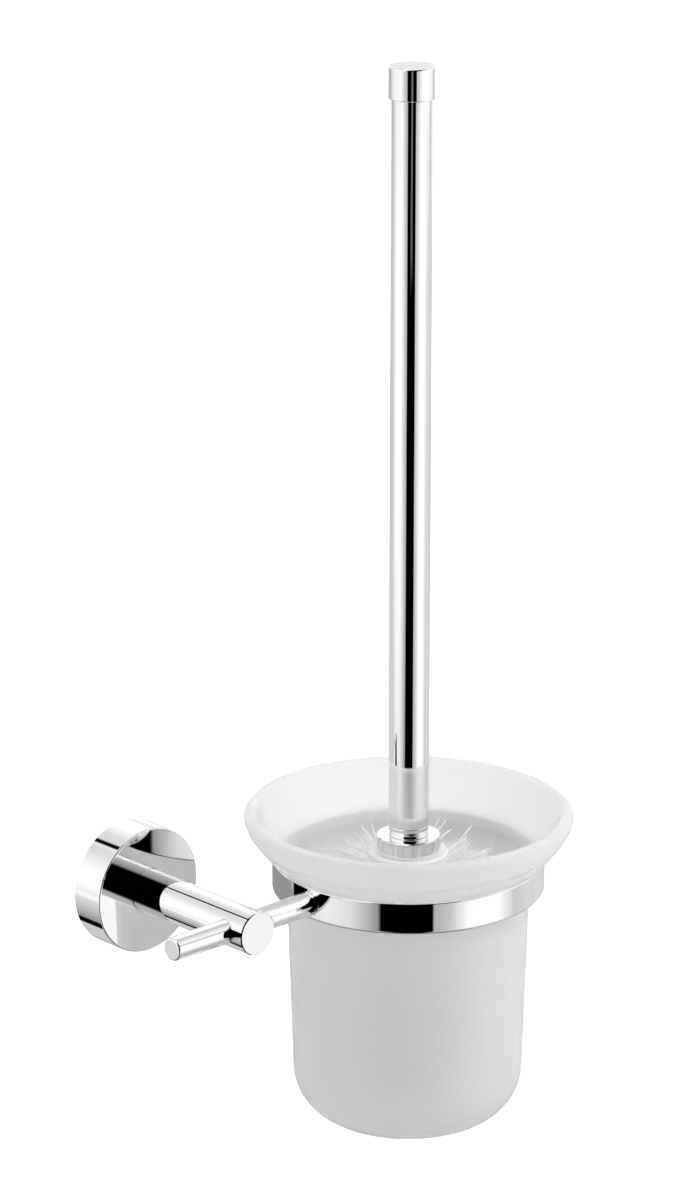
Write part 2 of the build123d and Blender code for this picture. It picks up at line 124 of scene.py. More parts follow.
class NodeSheet:
    """Short hand for adding and wiring nodes in one node tree."""

    def __init__(self, tree: bpy.types.NodeTree) -> None:
        """Keeps the tree that the nodes go into.

        Args:
            tree: Material, world or group tree to write.
        """
        self.tree = tree

    def add(self, kind: str, **settings: object) -> bpy.types.Node:
        """Adds a node.

        Args:
            kind: Blender's node type name.
            settings: Properties of the node to set, by name.

        Returns:
            The new node.
        """
        node = self.tree.nodes.new(kind)
        for name, value in settings.items():
            setattr(node, name, value)
        return node

    def link(self, source: Socket, target: Socket) -> None:
        """Wires one socket to another."""
        self.tree.links.new(source, target)

    def feed(self, target: Socket, value: object) -> None:
        """Wires a socket to the target, or sets the target to a plain value."""
        if isinstance(value, Socket):
            self.link(value, target)
        else:
            target.default_value = value

    def math(self, operation: str, first: object, second: object = None) -> Socket:
        """Adds a math node.

        Args:
            operation: Name of the operation.
            first: Socket or number for the first input.
            second: Socket or number for the second input, where there is one.

        Returns:
            The node's output.
        """
        node = self.add("ShaderNodeMath", operation=operation)
        self.feed(node.inputs[0], first)
        if second is not None:
            self.feed(node.inputs[1], second)
        return node.outputs[0]

    def remap(self, value: Socket, span: Span, to: Span, smooth: bool = False) -> Socket:
        """Maps a value from one span to another and holds it at the ends.

        Args:
            value: Socket to map.
            span: Lowest and highest incoming value.
            to: Values that the ends of the span give.
            smooth: Eases in and out instead of a straight line.

        Returns:
            The mapped value.
        """
        node = self.add("ShaderNodeMapRange", interpolation_type="SMOOTHSTEP" if smooth else "LINEAR")
        self.feed(node.inputs["Value"], value)
        node.inputs["From Min"].default_value = span[0]
        node.inputs["From Max"].default_value = span[1]
        node.inputs["To Min"].default_value = to[0]
        node.inputs["To Max"].default_value = to[1]
        return node.outputs["Result"]

    def ramp(self, value: Socket, stops: list[Span]) -> Socket:
        """Adds a grey ramp.

        Args:
            value: Socket from 0 to 1.
            stops: Places from 0 to 1 and the grey level at each.

        Returns:
            The ramp's colour.
        """
        node = self.add("ShaderNodeValToRGB")
        elements = node.color_ramp.elements
        while len(elements) < len(stops):
            elements.new(0.5)
        for element, (place, level) in zip(elements, stops):
            element.position = place
            element.color = (level, level, level, 1.0)
        self.feed(node.inputs["Fac"], value)
        return node.outputs["Color"]

    def blend_colour(self, mask: object, first: object, second: object) -> Socket:
        """Blends two colours by a mask and returns the result."""
        node = self.add("ShaderNodeMix", data_type="RGBA")
        self.feed(node.inputs["Factor"], mask)
        self.feed(node.inputs[6], first)
        self.feed(node.inputs[7], second)
        return node.outputs[2]


class SurfaceGroups:
    """Node groups that several finishes share, each built once."""

    MARKS = "handling_marks"
    GRAIN = "fine_grain"
    LATHE = "turning_lines"

    def __init__(self) -> None:
        """Builds the three groups."""
        self.build_marks()
        self.build_grain()
        self.build_lathe()

    @staticmethod
    def start(name: str, inputs: dict[str, float], outputs: list[str]) -> tuple[NodeSheet, bpy.types.Node,
                                                                              bpy.types.Node]:
        """Makes an empty group with its sockets.

        Args:
            name: Name of the group.
            inputs: Input names and their defaults.
            outputs: Output names.

        Returns:
            The sheet to draw on, the group's input node and its output node.
        """
        tree = bpy.data.node_groups.new(name, "ShaderNodeTree")
        for label, default in inputs.items():
            socket = tree.interface.new_socket(label, in_out="INPUT", socket_type="NodeSocketFloat")
            socket.default_value = default
        for label in outputs:
            tree.interface.new_socket(label, in_out="OUTPUT", socket_type="NodeSocketFloat")
        sheet = NodeSheet(tree)
        return sheet, sheet.add("NodeGroupInput"), sheet.add("NodeGroupOutput")

    def build_marks(self) -> None:
        """Soft smudges and water spots left by hands and cleaning cloths."""
        sheet, source, result = self.start(self.MARKS, {"Scale": 60.0}, ["Mask"])
        place = sheet.add("ShaderNodeTexCoord").outputs["Object"]
        smudge = sheet.add("ShaderNodeTexNoise")
        sheet.link(place, smudge.inputs["Vector"])
        sheet.link(source.outputs["Scale"], smudge.inputs["Scale"])
        smudge.inputs["Detail"].default_value = 5.0
        smudge.inputs["Roughness"].default_value = 0.62
        smudge.inputs["Distortion"].default_value = 0.6
        spots = sheet.add("ShaderNodeTexVoronoi", feature="SMOOTH_F1")
        sheet.link(place, spots.inputs["Vector"])
        sheet.link(sheet.math("MULTIPLY", source.outputs["Scale"], 3.5), spots.inputs["Scale"])
        film = sheet.remap(smudge.outputs["Fac"], (0.42, 0.72), (0.0, 1.0), smooth=True)
        drops = sheet.remap(spots.outputs["Distance"], (0.05, 0.22), (0.6, 0.0), smooth=True)
        sheet.link(sheet.math("MULTIPLY", film, sheet.math("ADD", drops, 0.4)), result.inputs["Mask"])

    def build_grain(self) -> None:
        """Even fine grain, as on etched glass, cast metal and moulded plastic."""
        sheet, source, result = self.start(self.GRAIN, {"Scale": 900.0}, ["Height"])
        place = sheet.add("ShaderNodeTexCoord").outputs["Object"]
        grain = sheet.add("ShaderNodeTexNoise")
        sheet.link(place, grain.inputs["Vector"])
        sheet.link(source.outputs["Scale"], grain.inputs["Scale"])
        grain.inputs["Detail"].default_value = 3.0
        grain.inputs["Roughness"].default_value = 0.7
        sheet.link(grain.outputs["Fac"], result.inputs["Height"])

    def build_lathe(self) -> None:
        """Close tool lines from turning, wound round the upright axis."""
        sheet, source, result = self.start(self.LATHE, {"Scale": 400.0}, ["Height"])
        place = sheet.add("ShaderNodeTexCoord").outputs["Object"]
        lines = sheet.add("ShaderNodeTexWave", wave_type="BANDS", bands_direction="Z")
        sheet.link(place, lines.inputs["Vector"])
        sheet.link(source.outputs["Scale"], lines.inputs["Scale"])
        lines.inputs["Distortion"].default_value = 1.5
        lines.inputs["Detail"].default_value = 2.0
        sheet.link(lines.outputs["Fac"], result.inputs["Height"])

    @staticmethod
    def place(sheet: NodeSheet, name: str, scale: float, output: str) -> Socket:
        """Places a group in a material.

        Args:
            sheet: Sheet of the material.
            name: Name of the group.
            scale: Value for its Scale input.
            output: Output to take.

        Returns:
            That output.
        """
        node = sheet.add("ShaderNodeGroup", node_tree=bpy.data.node_groups[name])
        node.inputs["Scale"].default_value = scale
        return node.outputs[output]


def new_material(name: str) -> tuple[bpy.types.Material, NodeSheet, bpy.types.Node]:
    """Starts a material with one Principled shader.

    Args:
        name: Name of the material.

    Returns:
        The material, its sheet and the shader node.
    """
    material = bpy.data.materials.new(name)
    material.use_nodes = True
    sheet = NodeSheet(material.node_tree)
    return material, sheet, material.node_tree.nodes["Principled BSDF"]


def bump(sheet: NodeSheet, shader: bpy.types.Node, height: Socket, depth: float) -> None:
    """Feeds a bump node into a shader's Normal.

    Args:
        sheet: Sheet of the material.
        shader: Shader to feed.
        height: Height from 0 to 1.
        depth: Real depth of the relief, in metres.
    """
    node = sheet.add("ShaderNodeBump")
    node.inputs["Distance"].default_value = depth
    sheet.link(height, node.inputs["Height"])
    sheet.link(node.outputs["Normal"], shader.inputs["Normal"])


@dataclass(frozen=True)
class MetalFinish:
    """A bare or plated metal with handling marks and a little relief."""

    name: str
    clean: Colour
    marked: Colour
    polish: float
    marked_polish: float
    marks_scale: float
    relief: str
    relief_scale: float
    relief_depth: float

    def material(self) -> bpy.types.Material:
        """Builds the material.

        Returns:
            The finished material.
        """
        material, sheet, shader = new_material(self.name)
        shader.inputs["Metallic"].default_value = 1.0
        mask = SurfaceGroups.place(sheet, SurfaceGroups.MARKS, self.marks_scale, "Mask")
        sheet.link(sheet.blend_colour(mask, self.clean, self.marked), shader.inputs["Base Color"])
        sheet.link(sheet.remap(mask, (0.0, 1.0), (self.polish, self.marked_polish)),
                   shader.inputs["Roughness"])
        height = SurfaceGroups.place(sheet, self.relief, self.relief_scale, "Height")
        bump(sheet, shader, height, self.relief_depth)
        return material


@dataclass(frozen=True)
class FrostedGlassFinish:
    """Acid-etched glass: a satin skin over clear glass."""

    name: str = "etched_glass"
    colour: Colour = (0.990, 0.991, 0.989, 1.0)
    thick: Colour = (0.982, 0.983, 0.981, 1.0)
    satin: float = 0.66
    satin_spread: float = 0.05
    see_through: float = 0.76
    refraction: float = 1.46
    marks_scale: float = 35.0
    grain_scale: float = 2600.0
    grain_depth: float = 0.06 * MM

    def material(self) -> bpy.types.Material:
        """Builds the material.

        Returns:
            The finished material.
        """
        material, sheet, shader = new_material(self.name)
        shader.inputs["IOR"].default_value = self.refraction
        shader.inputs["Transmission Weight"].default_value = self.see_through
        marks = SurfaceGroups.place(sheet, SurfaceGroups.MARKS, self.marks_scale, "Mask")
        sheet.link(sheet.blend_colour(marks, self.colour, self.thick), shader.inputs["Base Color"])
        sheet.link(sheet.remap(marks, (0.0, 1.0), (self.satin, self.satin + self.satin_spread)),
                   shader.inputs["Roughness"])
        grain = SurfaceGroups.place(sheet, SurfaceGroups.GRAIN, self.grain_scale, "Height")
        bump(sheet, shader, grain, self.grain_depth)
        return material


@dataclass(frozen=True)
class PlasticFinish:
    """Moulded plastic or rubber, with a faint mould grain and handling marks."""

    name: str
    clean: Colour
    marked: Colour
    gloss: float
    marked_gloss: float
    grain_scale: float
    grain_depth: float
    see_through: float = 0.0
    refraction: float = 1.49
    marks_scale: float = 90.0

    def material(self) -> bpy.types.Material:
        """Builds the material.

        Returns:
            The finished material.
        """
        material, sheet, shader = new_material(self.name)
        shader.inputs["IOR"].default_value = self.refraction
        shader.inputs["Transmission Weight"].default_value = self.see_through
        mask = SurfaceGroups.place(sheet, SurfaceGroups.MARKS, self.marks_scale, "Mask")
        sheet.link(sheet.blend_colour(mask, self.clean, self.marked), shader.inputs["Base Color"])
        sheet.link(sheet.remap(mask, (0.0, 1.0), (self.gloss, self.marked_gloss)),
                   shader.inputs["Roughness"])
        grain = SurfaceGroups.place(sheet, SurfaceGroups.GRAIN, self.grain_scale, "Height")
        bump(sheet, shader, grain, self.grain_depth)
        return material


@dataclass(frozen=True)
class BristleFinish:
    """White nylon filament with a soft gloss, paler towards the tips."""

    name: str = "nylon_bristle"
    root: Colour = (0.95, 0.95, 0.945, 1.0)
    tip: Colour = (0.99, 0.99, 0.987, 1.0)
    gloss: float = 0.38
    refraction: float = 1.53

    def material(self) -> bpy.types.Material:
        """Builds the material.

        Returns:
            The finished material.
        """
        material, sheet, shader = new_material(self.name)
        shader.inputs["Roughness"].default_value = self.gloss
        shader.inputs["IOR"].default_value = self.refraction
        along = sheet.add("ShaderNodeAttribute", attribute_name=BrushHead.ALONG)
        sheet.link(sheet.blend_colour(along.outputs["Fac"], self.root, self.tip),
                   shader.inputs["Base Color"])
        return material


class Finishes:
    """All finishes of the set, by material slot."""

    def __init__(self) -> None:
        """Builds the shared groups and every material."""
        SurfaceGroups()
        chrome = MetalFinish(
            "polished_chrome", clean=(0.955, 0.957, 0.962, 1.0), marked=(0.90, 0.905, 0.915, 1.0),
            polish=0.022, marked_polish=0.085, marks_scale=55.0,
            relief=SurfaceGroups.GRAIN, relief_scale=140.0, relief_depth=0.0006 * MM)
        steel = MetalFinish(
            "plain_steel", clean=(0.60, 0.60, 0.61, 1.0), marked=(0.47, 0.47, 0.48, 1.0),
            polish=0.24, marked_polish=0.40, marks_scale=160.0,
            relief=SurfaceGroups.LATHE, relief_scale=900.0, relief_depth=0.02 * MM)
        zinc = MetalFinish(
            "cast_zinc", clean=(0.56, 0.57, 0.58, 1.0), marked=(0.43, 0.44, 0.45, 1.0),
            polish=0.42, marked_polish=0.58, marks_scale=120.0,
            relief=SurfaceGroups.GRAIN, relief_scale=1400.0, relief_depth=0.08 * MM)
        brass = MetalFinish(
            "turned_brass", clean=(0.80, 0.61, 0.32, 1.0), marked=(0.62, 0.45, 0.22, 1.0),
            polish=0.22, marked_polish=0.42, marks_scale=140.0,
            relief=SurfaceGroups.LATHE, relief_scale=700.0, relief_depth=0.02 * MM)
        plastic = PlasticFinish(
            "moulded_plastic", clean=(0.81, 0.81, 0.805, 1.0), marked=(0.76, 0.76, 0.75, 1.0),
            gloss=0.30, marked_gloss=0.44, grain_scale=1800.0, grain_depth=0.02 * MM)
        gasket = PlasticFinish(
            "milky_vinyl", clean=(0.97, 0.97, 0.97, 1.0), marked=(0.94, 0.94, 0.94, 1.0),
            gloss=0.25, marked_gloss=0.40, grain_scale=900.0, grain_depth=0.01 * MM, see_through=0.2)
        self.by_slot: dict[Slot, bpy.types.Material] = {
            Slot.CHROME: chrome.material(),
            Slot.STEEL: steel.material(),
            Slot.ZINC: zinc.material(),
            Slot.BRASS: brass.material(),
            Slot.GLASS: FrostedGlassFinish().material(),
            Slot.PLASTIC: plastic.material(),
            Slot.BRISTLE: BristleFinish().material(),
            Slot.GASKET: gasket.material(),
        }

    def dress(self, piece: bpy.types.Object, *slots: Slot) -> None:
        """Gives a piece the materials of the named slots, in order."""
        piece.data.materials.clear()
        for slot in slots:
            piece.data.materials.append(self.by_slot[slot])


@dataclass
class Dresser:
    """Finishes the CAD nodes whose shape is kept."""

    frame: dict
    finishes: Finishes

    def dress_nodes(self) -> None:
        """Gives every CAD node the finish of its slot in the record."""
        slots = {part["node"]: Slot(part["material_slot"]) for part in self.frame["record"]["subparts"]}
        for name, piece in sorted(self.frame["nodes"].items()):
            self.finishes.dress(piece, slots[name])
            LOG.info("dressed %s as %s", name, slots[name].value)


@dataclass
class BrushHead:
    """The brush's bristles, grown in full on slices of the core's sleeve."""

    ALONG = "along"
    SIDES = 3

    finishes: Finishes
    axis: tuple[float, float]
    core_r: float = 8.05 * MM
    sleeve_r: float = 10.5 * MM
    brush_r: float = 33.0 * MM
    bands: int = 6
    rows_per_band: int = 2
    tufts_per_row: int = 11
    first_turn: float = math.radians(23.0)
    locks_per_tuft: int = 9
    strands_per_lock: int = 2
    strand_r: float = 0.25 * MM
    root_depth: float = 0.75 * MM
    tuft_r: float = 1.15 * MM
    splay: float = math.radians(9.0)
    tuft_sway: float = math.radians(3.0)
    lock_splay: float = math.radians(9.0) / 16
    lock_bend: Span = (0.06, 0.07)
    lock_wave: Span = (0.015, 0.02)
    lengths: Span = (0.86, 1.02)
    top_tilt: float = math.radians(16.0)
    bottom_tilt: float = math.radians(-34.0)
    joints_per_strand: int = 6
    tip_rings: tuple[tuple[int, float, float], ...] = (
        (24, -42.0, 7.5 * MM), (18, -58.0, 3.0 * MM), (10, -74.0, 0.5 * MM), (1, -90.0, 0.0))
    strands_per_tip: int = 14
    tip_root: float = 0.96
    tip_lean: float = 0.6
    tip_bend: Span = (0.03, 0.0)
    tip_lengths: Span = (0.88, 1.0)
    tip_clearance: float = 0.97
    least_drop: float = 0.05
    seed: int = 41
    chance: random.Random = field(init=False)
    band_height: float = field(init=False)
    sleeve_top: float = field(init=False)
    sleeve_foot: float = field(init=False)
    brush_bottom: float = field(init=False)

    def __post_init__(self) -> None:
        """Takes the heights from the frame and seeds the draws, so that every run grows the same."""
        self.chance = random.Random(self.seed)
        tip_low, tip_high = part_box("bristle_tip")
        first_low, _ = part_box("bristle_band_1")
        self.brush_bottom = tip_low.z
        self.sleeve_foot = tip_high.z
        self.band_height = (first_low.z - self.sleeve_foot) / (self.bands - 1)
        self.sleeve_top = first_low.z + self.band_height

    def grow_bands(self) -> None:
        """Grows every band of bristles on its slice of the sleeve."""
        rows = self.bands * self.rows_per_band
        rake = (self.bottom_tilt - self.top_tilt) / (rows - 1)
        for band in range(self.bands):
            node = f"bristle_band_{band + 1}"
            thicket = Thicket(self.axis, self.SIDES, self.strand_r)
            sleeve_top = self.sleeve_top - band * self.band_height
            stagger = band % 2 / 2
            thicket.add_sleeve(self.sleeve_r, self.core_r, sleeve_top, self.band_height)
            for row in range(self.rows_per_band):
                tilt = self.top_tilt + rake * (band * self.rows_per_band + row)
                height = sleeve_top - self.band_height * (row + 0.5) / self.rows_per_band
                for tuft in range(self.tufts_per_row):
                    share = (tuft + stagger) / self.tufts_per_row
                    turn = self.first_turn + math.tau * share
                    self.grow_tuft(thicket, height, tilt, turn)
            self.hand_in(thicket, f"bristles_{band + 1}", node)

    def grow_tuft(self, thicket: "Thicket", height: float, tilt: float, turn: float) -> None:
        """Grows one tuft out of the sleeve.

        Args:
            thicket: Mesh that the strands go into.
            height: Height of the tuft's hole.
            tilt: Lift of the tuft above the horizontal.
            turn: Angle of the tuft round the axis.
        """
        out = Vector((math.cos(turn), math.sin(turn), 0.0))
        across = Vector((-out.y, out.x, 0.0))
        hole = Vector((self.axis[0], self.axis[1], height)) + out * (self.sleeve_r - self.root_depth)
        room = (self.brush_r - self.sleeve_r) / math.cos(tilt)
        middle = tilt + self.chance.gauss(0.0, self.tuft_sway)
        for _ in range(self.locks_per_tuft):
            angle = self.chance.uniform(0.0, math.tau)
            off = math.sqrt(self.chance.random())
            lean = middle + self.splay * off * math.sin(angle)
            swing = turn + self.splay * off * math.cos(angle)
            bend = self.drift(*self.lock_bend)
            wave = self.drift(*self.lock_wave)
            side = across * math.cos(angle) + Vector((0, 0, math.sin(angle)))
            root = hole + side * self.tuft_r * off
            for _ in range(self.strands_per_lock):
                own_lean = lean + self.chance.gauss(0.0, self.lock_splay)
                own_swing = swing + self.chance.gauss(0.0, self.lock_splay)
                heading = self.direction(own_lean, own_swing)
                reach = room * self.chance.uniform(*self.lengths)
                thicket.add_strand(root, heading, reach, bend, wave, self.joints_per_strand)

    @staticmethod
    def direction(lean: float, turn: float) -> Vector:
        """Returns the unit direction at a lean above the level and a turn round the axis."""
        return Vector((math.cos(lean) * math.cos(turn), math.cos(lean) * math.sin(turn), math.sin(lean)))

    def drift(self, level: float, upright: float) -> Vector:
        """Draws a small random offset, with its own spread along the level and along the upright."""
        return Vector([self.chance.gauss(0, spread) for spread in (level, level, upright)])

    def grow_tip(self) -> None:
        """Grows the bristles that fan out downwards from the sleeve's foot."""
        thicket = Thicket(self.axis, self.SIDES, self.strand_r)
        thicket.add_dome(self.sleeve_r, self.sleeve_foot)
        centre = Vector((self.axis[0], self.axis[1], self.sleeve_foot))
        start_r = self.sleeve_r * self.tip_root
        for count, tilt, extra in self.tip_rings:
            for tuft in range(count):
                for _ in range(self.strands_per_tip):
                    turn = math.tau * tuft / count + self.chance.gauss(0.0, self.splay)
                    lean = math.radians(tilt) + self.chance.gauss(0.0, self.splay * self.tip_lean)
                    heading = self.direction(lean, turn)
                    root = centre + heading * start_r
                    length = self.sleeve_foot - self.brush_bottom + extra - start_r
                    room = (root.z - self.brush_bottom) / max(-heading.z, self.least_drop)
                    reach = min(length * self.chance.uniform(*self.tip_lengths), room * self.tip_clearance)
                    bend = self.drift(*self.tip_bend)
                    thicket.add_strand(root, heading, reach, bend, Vector(), self.joints_per_strand)
        self.hand_in(thicket, "bristles_tip", "bristle_tip")

    def hand_in(self, thicket: "Thicket", name: str, node: str) -> None:
        """Turns a thicket into a dressed piece that stands for a CAD node.

        Args:
            thicket: Finished strands.
            name: Name of the new piece.
            node: CAD node that it stands for.
        """
        piece = thicket.piece(name, self.ALONG)
        self.finishes.dress(piece, Slot.BRISTLE)
        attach(piece, Body.BRUSH_HEAD.value)
        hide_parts(node)
        LOG.info("grew %s for %s: %d points", name, node, len(piece.data.vertices))


class Thicket:
    """Collects strands and the backing that they grow on into one mesh."""

    SEGMENTS = 48
    DOME_STEPS = 10
    POLE_SHARE = 0.02
    EASE_SHARE = 0.125
    TAPER = 0.35

    def __init__(self, axis: tuple[float, float], sides: int, strand_r: float) -> None:
        """Starts an empty mesh.

        Args:
            axis: X and Y of the brush's axis.
            sides: Sides of a strand.
            strand_r: Radius of a strand at its root.
        """
        self.axis = axis
        self.sides = sides
        self.strand_r = strand_r
        self.points: list[Vector] = []
        self.faces: list[tuple[int, ...]] = []
        self.along: list[float] = []

    def add_lathe(self, outline: list[Span]) -> None:
        """Turns a closed outline about the axis.

        Args:
            outline: Radius and height of each point.
        """
        first = len(self.points)
        size = len(outline)
        for step in range(self.SEGMENTS):
            turn = math.tau * step / self.SEGMENTS
            for radius, height in outline:
                self.points.append(Vector((self.axis[0] + radius * math.cos(turn),
                                           self.axis[1] + radius * math.sin(turn), height)))
                self.along.append(0.0)
        for step in range(self.SEGMENTS):
            here = first + step * size
            there = first + (step + 1) % self.SEGMENTS * size
            for place in range(size):
                after = (place + 1) % size
                self.faces.append((here + place, there + place, there + after, here + after))

    def add_sleeve(self, outer: float, inner: float, top: float, height: float) -> None:
        """Adds a slice of the sleeve, with its edges eased.

        Args:
            outer: Outer radius.
            inner: Inner radius.
            top: Height of its upper end.
            height: Length of the slice.
        """
        ease = (outer - inner) * self.EASE_SHARE
        foot = top - height
        self.add_lathe([(inner, foot), (outer - ease, foot), (outer, foot + ease), (outer, top - ease),
                        (outer - ease, top), (inner, top)])

    def add_dome(self, radius: float, top: float) -> None:
        """Adds the rounded end under the core.

        Args:
            radius: Radius of the dome.
            top: Height of its flat upper face.
        """
        pole = radius * self.POLE_SHARE
        angles = [math.pi / 2 * step / self.DOME_STEPS for step in range(self.DOME_STEPS + 1)]
        arc = [(max(radius * math.cos(angle), pole), top - radius * math.sin(angle)) for angle in angles]
        self.add_lathe([*arc, (pole, top)])

    def add_strand(self, root: Vector, heading: Vector, reach: float, bend: Vector, wave: Vector,
                   joints: int) -> None:
        """Adds one tapering strand.

        Args:
            root: Point that it grows from.
            heading: Unit direction at the root.
            reach: Length.
            bend: Bend of the tip, as a share of the length.
            wave: Sideways swell on the way, as a share of the length.
            joints: Straight pieces along it.
        """
        first = len(self.points)
        across = heading.orthogonal().normalized()
        other = heading.cross(across)
        for joint in range(joints + 1):
            share = joint / joints
            swell = wave * math.sin(math.tau * share)
            middle = root + (heading * share + bend * share * share + swell) * reach
            radius = self.strand_r * (1.0 - self.TAPER * share)
            for side in range(self.sides):
                angle = math.tau * side / self.sides
                self.points.append(middle + (across * math.cos(angle) + other * math.sin(angle)) * radius)
                self.along.append(share)
        for joint in range(joints):
            for side in range(self.sides):
                here = first + joint * self.sides + side
                beside = first + joint * self.sides + (side + 1) % self.sides
                self.faces.append((here, beside, beside + self.sides, here + self.sides))
        last = first + joints * self.sides
        self.faces.append(tuple(range(first + self.sides - 1, first - 1, -1)))
        self.faces.append(tuple(range(last, last + self.sides)))

    def piece(self, name: str, along_name: str) -> bpy.types.Object:
        """Makes the mesh object.

        Args:
            name: Name of the object.
            along_name: Name of the point attribute that runs from root to tip.

        Returns:
            The object, linked to the scene.
        """
        mesh = bpy.data.meshes.new(name)
        mesh.from_pydata(self.points, [], self.faces)
        along = mesh.attributes.new(along_name, "FLOAT", "POINT")
        along.data.foreach_set("value", self.along)
        mesh.shade_smooth()
        mesh.update()
        piece = bpy.data.objects.new(name, mesh)
        bpy.context.scene.collection.objects.link(piece)
        return piece


@dataclass(frozen=True)
class WhiteRoom:
    """The room round the set: even light, and for polished metal grey walls with a dark doorway.

    Bearings are in degrees, from the doorway that faces the set's front: negative to the left, positive
    to the right, 180 straight behind. Heights are in degrees above the horizon. Each wall is a short list
    of the angles where its paint turns, with the paint there, and the greys run evenly from one to the
    next. A pair of limits that ends lower than it starts fades the other way.
    """

    doorway_turn: float
    ambient: float = 0.98
    tall_walls: Stops = (
        (-120, Paint.ASH), (-90, Paint.WHITE), (-56, Paint.WHITE), (-35, Paint.ASH), (-24, Paint.SLATE),
        (-22.5, Paint.BLACK), (21, Paint.BLACK), (22, Paint.ASH), (28, Paint.ASH), (52, Paint.WHITE),
        (80, Paint.WHITE), (100, Paint.SILVER), (165, Paint.ASH))
    low_walls: Stops = (
        (-165, Paint.SILVER), (-105, Paint.ASH), (-90, Paint.SILVER), (-75, Paint.PALE),
        (-50, Paint.SILVER), (-26, Paint.CHARCOAL), (-24.5, Paint.BLACK), (20, Paint.BLACK),
        (21, Paint.SLATE), (35, Paint.ASH), (52, Paint.WHITE), (80, Paint.WHITE), (100, Paint.ASH),
        (120, Paint.SILVER), (165, Paint.ASH))
    ground: Stops = (
        (-26, Paint.SLATE), (-14, Paint.BLACK), (14, Paint.BLACK), (26, Paint.SLATE))
    ahead: Stops = (
        (-180, Paint.ASH), (-140, Paint.SLATE), (-100, Paint.ASH), (-75, Paint.CHARCOAL),
        (-63, Paint.BLACK), (86, Paint.BLACK), (100, Paint.CHARCOAL), (135, Paint.SLATE),
        (160, Paint.ASH))
    beside: Stops = (
        (-110, Paint.WHITE), (-80, Paint.SLATE), (-62, Paint.SLATE), (-45, Paint.ASH),
        (-22, Paint.WHITE), (16, Paint.WHITE), (60, Paint.PALE), (80, Paint.SILVER), (96, Paint.ASH),
        (138, Paint.WHITE))
    behind: Stops = (
        (-180, Paint.WHITE), (-160, Paint.PALE), (-146, Paint.ASH), (-128, Paint.SLATE),
        (-115, Paint.ASH), (-83, Paint.ASH), (-80.5, Paint.BLACK), (-70, Paint.BLACK),
        (-67, Paint.CHARCOAL), (0, Paint.WHITE), (24, Paint.WHITE), (60, Paint.SILVER),
        (70, Paint.SILVER), (75.5, Paint.PALE), (77.5, Paint.BLACK), (83.5, Paint.BLACK),
        (86, Paint.SILVER), (100, Paint.SILVER), (126, Paint.WHITE))
    low_rise: Span = (-15.0, -21.0)
    ceiling_rise: Span = (-6.0, 0.0)
    ground_rise: Span = (-30.0, -42.0)
    slit_bearing: Span = (6.0, 2.0)
    slit_rise: Span = (-13.0, -10.6)
    slit_edge: float = 0.6
    slit_level: float = 0.15
    ahead_rise: Span = (-10.5, -6.0)
    level_rise: Span = (-20.0, -14.0)
    level_edge: float = 4.5
    corner_rise: Span = (18.0, 24.0)
    corner_bearing: Span = (89.0, 84.0)
    side_reach: Span = (0.2, 0.35)
    below_rise: Span = (-56.0, -68.0)
    below_level: float = 0.12
    left_bearing: Span = (-108.0, -117.0)
    back_bearing: Span = (164.0, 169.0)
    left_strip: tuple[Span, float] = ((-24.0, -20.6), 0.3)
    back_strip: tuple[Span, float] = ((-19.5, -15.0), 0.03)
    back_panel: tuple[Span, float] = ((7.0, 13.5), 0.85)
    patch_edge: float = 1.0
    through_edge: Span = (21.0, 46.0)
    through_levels: Span = (0.04, 0.91)
    mirrored_back: Span = (80.0, 112.0)
    mirrored_level: float = 0.58

    def build(self) -> None:
        """Writes the room into a new world."""
        world = bpy.data.worlds.new("white_room")
        world.use_nodes = True
        bpy.context.scene.world = world
        world.node_tree.nodes.clear()
        sheet = NodeSheet(world.node_tree)
        toward = sheet.add("ShaderNodeTexCoord").outputs["Generated"]
        bearing, rise = self.bearings(sheet, toward)
        path = sheet.add("ShaderNodeLightPath")
        first = self.fade(sheet, path.outputs["Glossy Depth"], (2.0, 1.0))
        metal = self.draw_walls(sheet, bearing, rise, first)
        metal = self.draw_sides(sheet, toward, bearing, rise, metal)
        metal = self.draw_patches(sheet, bearing, rise, metal)
        mirror = sheet.math("MULTIPLY", path.outputs["Is Glossy Ray"],
                            sheet.math("SUBTRACT", 1.0, path.outputs["Is Transmission Ray"]))
        light = sheet.blend_colour(path.outputs["Is Transmission Ray"], self.grey(self.ambient),
                                   self.draw_through(sheet, bearing, path.outputs["Glossy Depth"]))
        seen = sheet.blend_colour(path.outputs["Is Camera Ray"], light, self.grey(1.0))
        background = sheet.add("ShaderNodeBackground")
        sheet.link(sheet.blend_colour(mirror, seen, metal), background.inputs["Color"])
        output = sheet.add("ShaderNodeOutputWorld")
        sheet.link(background.outputs[0], output.inputs["Surface"])

    @staticmethod
    def grey(level: float) -> Colour:
        """Returns a plain grey of the given level."""
        return (level, level, level, 1.0)

    @staticmethod
    def table(sheet: NodeSheet, place: Socket, stops: Stops) -> Socket:
        """Returns the greys of a wall, at a place that runs from 0 to 1 round the turn."""
        return sheet.ramp(place, [(degrees / 360.0 + 0.5, paint.value) for degrees, paint in stops])

    @staticmethod
    def fade(sheet: NodeSheet, value: Socket, limits: Span) -> Socket:
        """Returns a mask that eases from none at the first limit to all at the second."""
        return sheet.remap(value, limits, (0.0, 1.0), smooth=True)

    def band(self, sheet: NodeSheet, value: Socket, limits: Span, edge: float) -> Socket:
        """Returns a mask that is all between two limits and eases out over an edge beyond them."""
        low, high = limits
        return sheet.math("MULTIPLY", self.fade(sheet, value, (low - edge, low)),
                          self.fade(sheet, value, (high + edge, high)))

